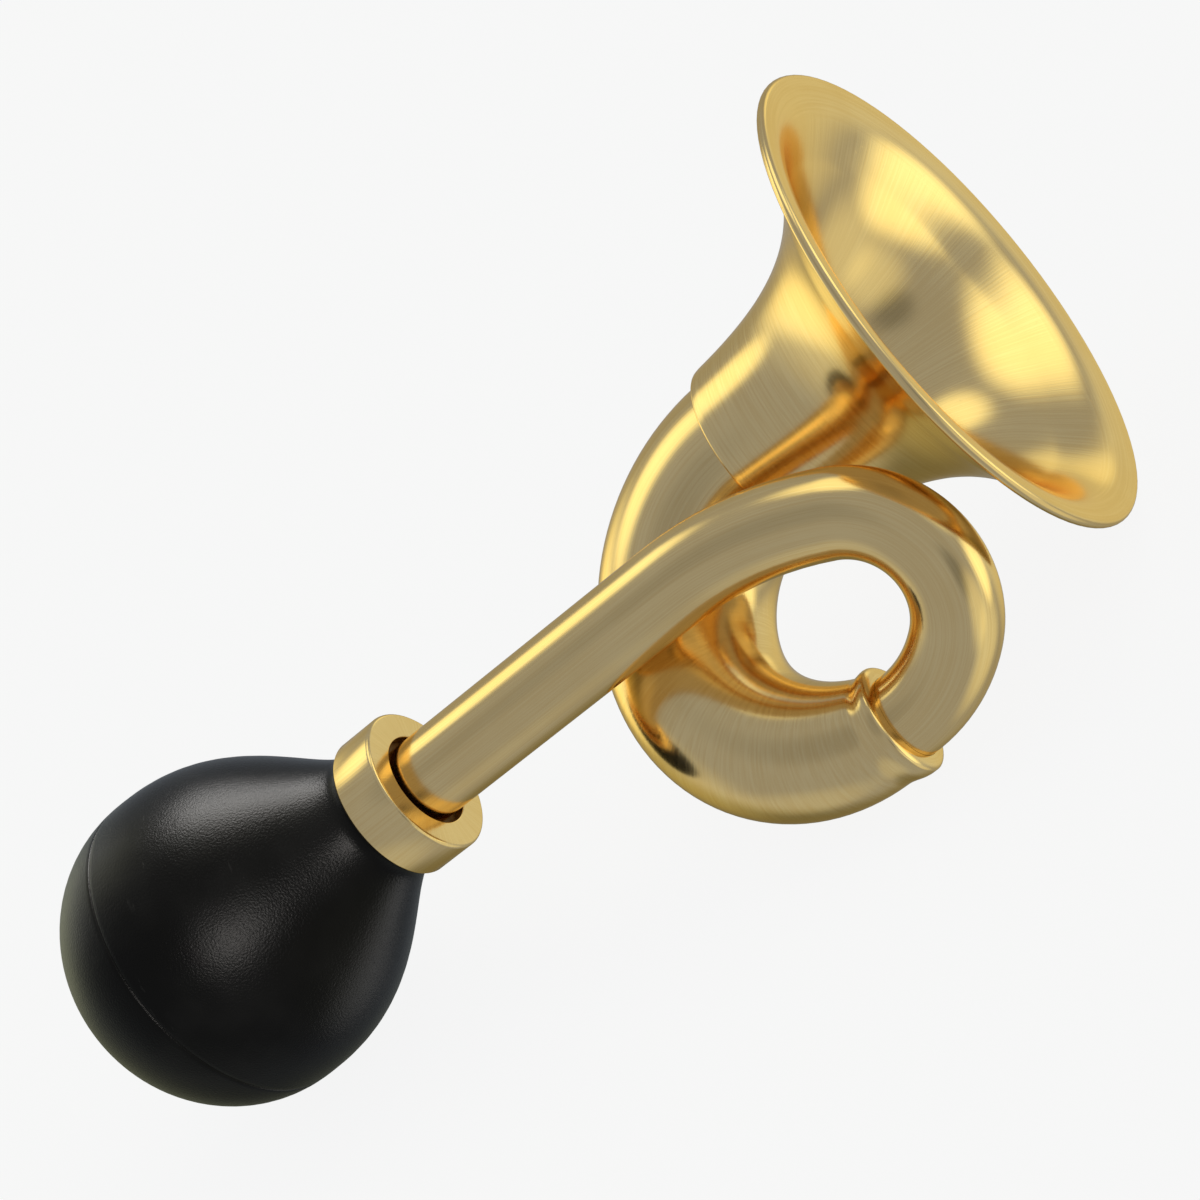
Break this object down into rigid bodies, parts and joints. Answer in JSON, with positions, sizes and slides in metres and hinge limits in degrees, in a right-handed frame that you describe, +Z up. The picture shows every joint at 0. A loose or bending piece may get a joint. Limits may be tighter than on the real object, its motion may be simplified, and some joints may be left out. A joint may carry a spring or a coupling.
{
  "type": "bulb horn",
  "caption": "Single-twist brass horn with a flared bell and a rubber squeeze bulb on a threaded collar; squeezing the bulb blows a hidden reed.",
  "frame": {"origin": "middle of the box's underside, on the table that the horn lies on", "axes": "+Z is up; +X is the level direction of the straight mouthpipe, from the bulb towards the bend; +Y is across, towards the bell's side"},
  "size_m": [0.2423, 0.1302, 0.109],
  "materials": {
    "brass": "satin, finely brushed",
    "reed_brass": "plain turned",
    "steel": "drawn wire",
    "rubber": "satin black",
    "leather": "plain"
  },
  "bodies": {
    "horn": {"bell": "brass", "bell_rim_wire": "steel", "rear_bend": "brass", "mouthpipe": "brass", "reed_socket": "reed_brass", "sealing_washer": "leather", "reed_body": "reed_brass", "reed_plate": "reed_brass", "reed_screws": "reed_brass"},
    "collar": {"collar": "brass"},
    "bulb_neck": {"bulb_nipple": "reed_brass", "bulb_front": "rubber"},
    "bulb_end": {"bulb_rear": "rubber"},
    "tongue": {"reed_tongue": "reed_brass"}
  },
  "joints": [
    {"name": "collar_turn", "type": "hinge", "parent": "horn", "child": "collar", "pos_m": [-0.0307, -0.02893, 0.04403], "axis": [0.9905, 0, 0.1377], "range_deg": [0, 1081]},
    {"name": "bulb_draw", "type": "slide", "parent": "horn", "child": "bulb_neck", "axis": [-0.9905, 0, -0.1377], "range_m": [0, 0.0045]},
    {"name": "bulb_squeeze", "type": "slide", "parent": "bulb_neck", "child": "bulb_end", "axis": [0.9905, 0, 0.1377], "range_m": [0, 0.022], "stiffness_N_per_m": 600, "deforming": ["bulb_front"]},
    {"name": "reed_flex", "type": "hinge", "parent": "horn", "child": "tongue", "pos_m": [-0.03257, -0.0256, 0.04225], "axis": [0.1255, -0.4111, -0.9029], "range_deg": [-1.7, 2.5], "stiffness_Nm_per_rad": 0.29}
  ],
  "couplings": [
    {"joint": "collar_turn", "follows": "bulb_draw", "rad_per_m": 4188.8}
  ]
}
